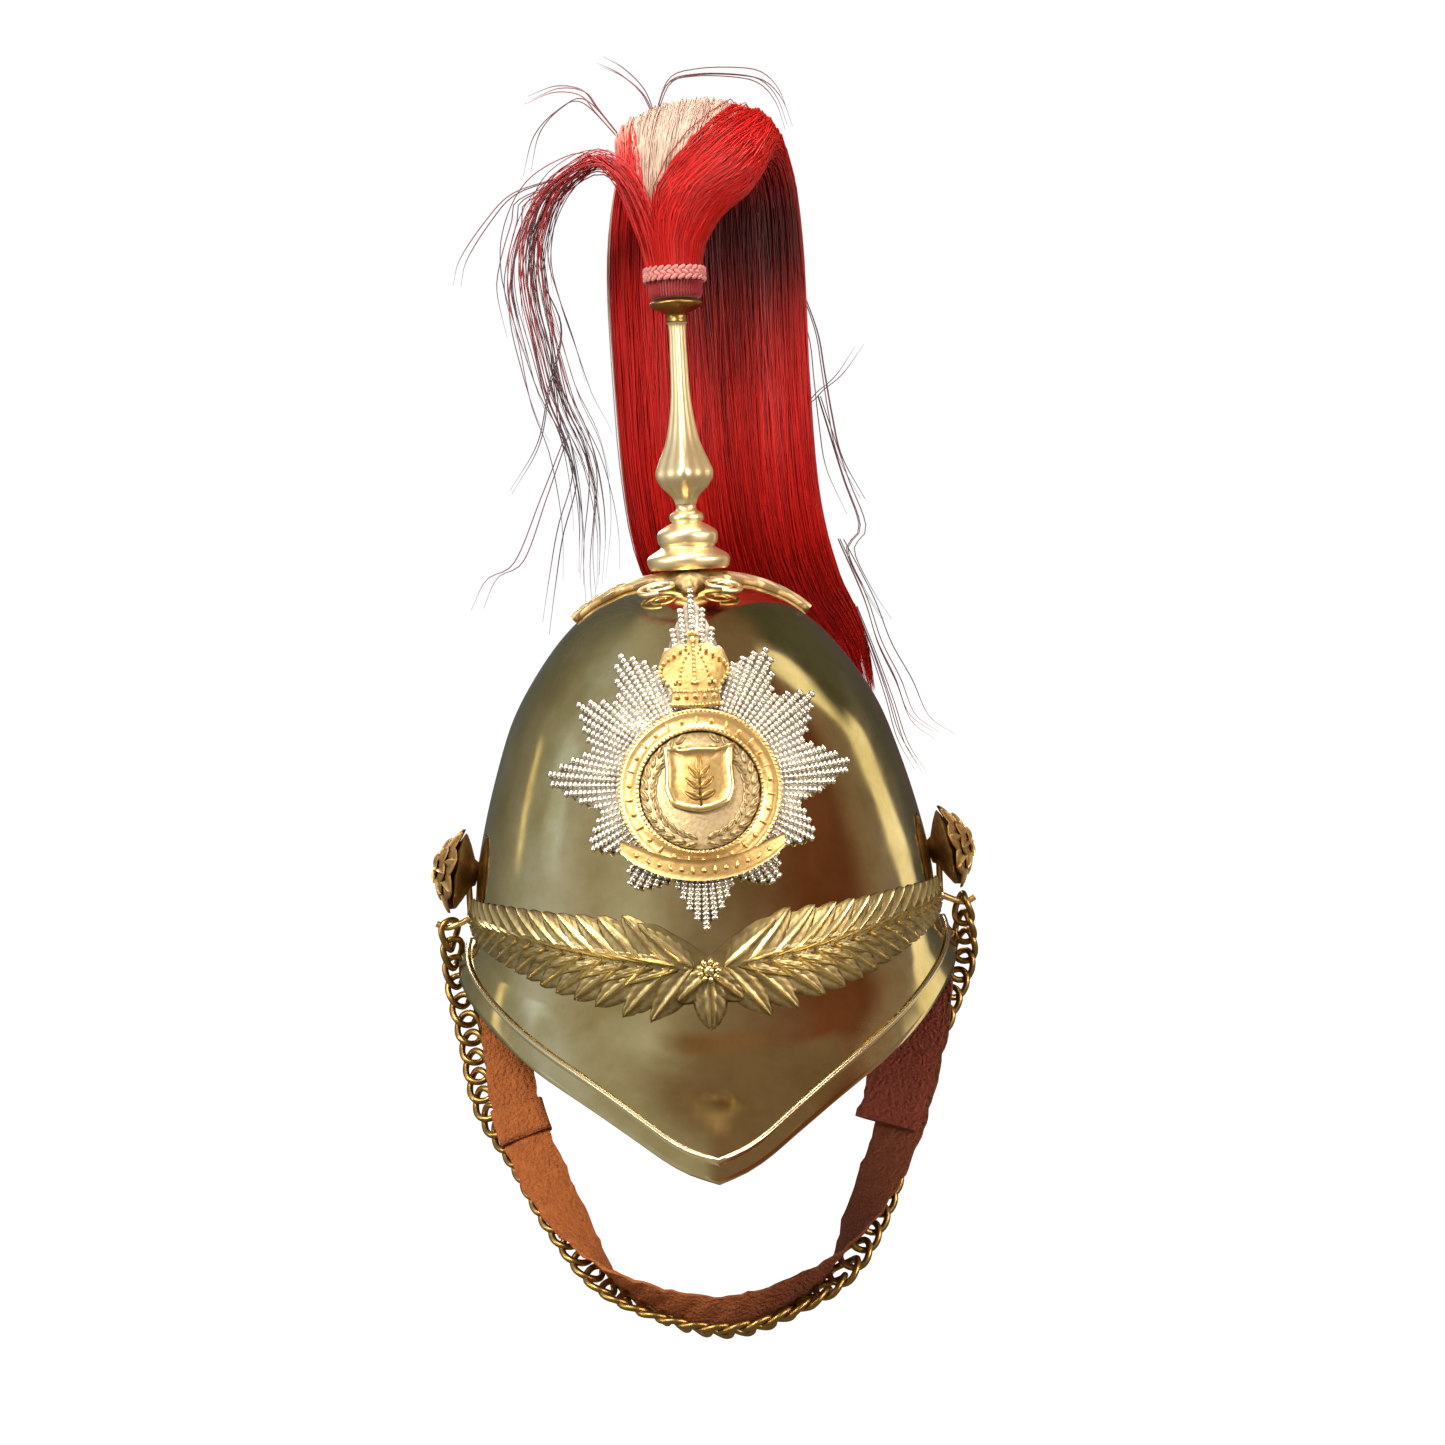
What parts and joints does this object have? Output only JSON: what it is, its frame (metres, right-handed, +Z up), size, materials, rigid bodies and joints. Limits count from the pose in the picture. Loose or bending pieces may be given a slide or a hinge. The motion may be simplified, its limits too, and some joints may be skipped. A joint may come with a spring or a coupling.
{
  "type": "parade helmet",
  "caption": "Brass parade helmet with front and back peaks, laurel wreath, rayed star, side bosses, chin chain on a leather strap, and a falling horsehair plume.",
  "frame": {"origin": "middle of the head opening at brow level, where the helmet sits on a head", "axes": "+Z up along the plume's holder, -Y towards the front peak, +X to the right as the front is seen"},
  "size_m": [0.2348, 0.349, 0.5085],
  "materials": {
    "polished_brass": "raised sheet, mirror polished, lacquered",
    "gilt_brass": "stamped relief, gilt",
    "aged_brass": "satin, darkened",
    "silver_plate": "stamped relief, silver plated",
    "red_horsehair": "dyed horsehair in long locks",
    "crimson_braid": "woven braid",
    "brown_leather": "rough, undyed flesh side"
  },
  "bodies": {
    "root": {"skull": "polished_brass", "wreath": "gilt_brass", "star_plate": "silver_plate", "star_ring": "gilt_brass", "star_field": "gilt_brass", "star_shield": "gilt_brass", "star_crown": "gilt_brass", "star_ribbon": "gilt_brass", "boss_left": "gilt_brass", "boss_right": "gilt_brass", "crown_cross": "gilt_brass", "plume_foot": "gilt_brass", "plume_stem": "gilt_brass", "plume_cup": "aged_brass", "plume_binding": "crimson_braid", "plume_hair": "red_horsehair", "chin_strap": "brown_leather", "strap_keeper": "brown_leather", "strap_tab": "brown_leather", "chin_chain": "aged_brass"}
  },
  "joints": []
}
